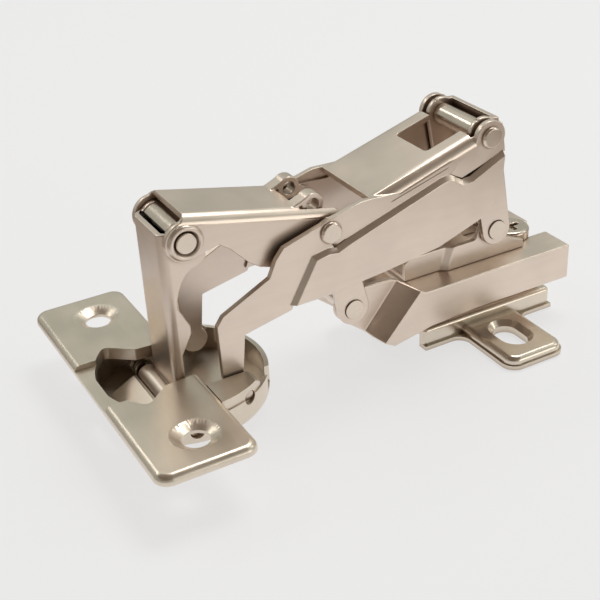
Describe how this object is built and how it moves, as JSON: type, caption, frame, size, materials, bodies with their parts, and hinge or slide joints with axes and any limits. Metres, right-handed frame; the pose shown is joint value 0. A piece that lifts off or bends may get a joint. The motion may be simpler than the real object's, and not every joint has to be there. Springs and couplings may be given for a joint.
{
  "type": "cabinet hinge",
  "caption": "Wide-angle concealed cabinet hinge, opened a quarter turn, with its mounting plate",
  "frame": {"origin": "on the side panel's face, midway between the two screw slots of the mounting plate", "axes": "X from the door side to the back of the cabinet, Y along the pins, Z out of the side panel"},
  "size_m": [0.1046, 0.066, 0.0475],
  "materials": {
    "nickel_links": "satin nickel plate",
    "nickel_cup": "satin nickel plate",
    "nickel_arm": "satin nickel plate",
    "nickel_plate": "satin nickel plate",
    "steel_pins": "turned and nickel plated",
    "spring_steel": "drawn wire",
    "steel_screws": "nickel plated"
  },
  "bodies": {
    "base": {"mounting_plate": "nickel_plate", "slide_channel": "nickel_arm", "base_arm": "nickel_arm", "link_carrier": "nickel_arm", "fixing_screw": "steel_screws", "side_adjusting_screw": "steel_screws", "front_base_pin": "steel_pins", "rear_base_pin": "steel_pins"},
    "inner": {"inner_link": "nickel_links", "front_rivet": "steel_pins"},
    "outer": {"outer_link": "nickel_links", "near_shield": "nickel_links", "far_shield": "nickel_links", "centre_rivet": "steel_pins", "rear_top_rivets": "steel_pins"},
    "rear": {"rear_lever": "nickel_links", "rear_roller": "steel_pins"},
    "front": {"front_lever": "nickel_links", "front_bush": "steel_pins"},
    "cup": {"hinge_cup": "nickel_cup", "cup_front_pin": "steel_pins", "cup_rear_pins": "steel_pins", "closing_springs": "spring_steel"}
  },
  "joints": [
    {"name": "fold", "type": "hinge", "parent": "base", "child": "inner", "pos_m": [-0.0325, 0, 0.0145], "axis": [0, -1, 0], "range_deg": [-30.87, 25.72]},
    {"name": "scissor", "type": "hinge", "parent": "inner", "child": "outer", "pos_m": [-0.0384, 0, 0.034], "axis": [0, -1, 0], "range_deg": [-24.2, 29]},
    {"name": "rear_swing", "type": "hinge", "parent": "base", "child": "rear", "pos_m": [0.002, 0, 0.0222], "axis": [0, -1, 0], "range_deg": [-28.7, 23.9]},
    {"name": "front_swing", "type": "hinge", "parent": "inner", "child": "front", "pos_m": [-0.0664, 0, 0.039], "axis": [0, -1, 0], "range_deg": [-10.4, 12.5]},
    {"name": "cup_swing", "type": "hinge", "parent": "front", "child": "cup", "pos_m": [-0.0717, 0, 0.006], "axis": [0, -1, 0], "range_deg": [-71.6, 59.7]}
  ],
  "couplings": [
    {"joint": "scissor", "follows": "fold", "ratio": -0.9388},
    {"joint": "rear_swing", "follows": "fold", "ratio": 0.9271},
    {"joint": "front_swing", "follows": "fold", "ratio": -0.4023},
    {"joint": "cup_swing", "follows": "fold", "ratio": 2.3178}
  ]
}
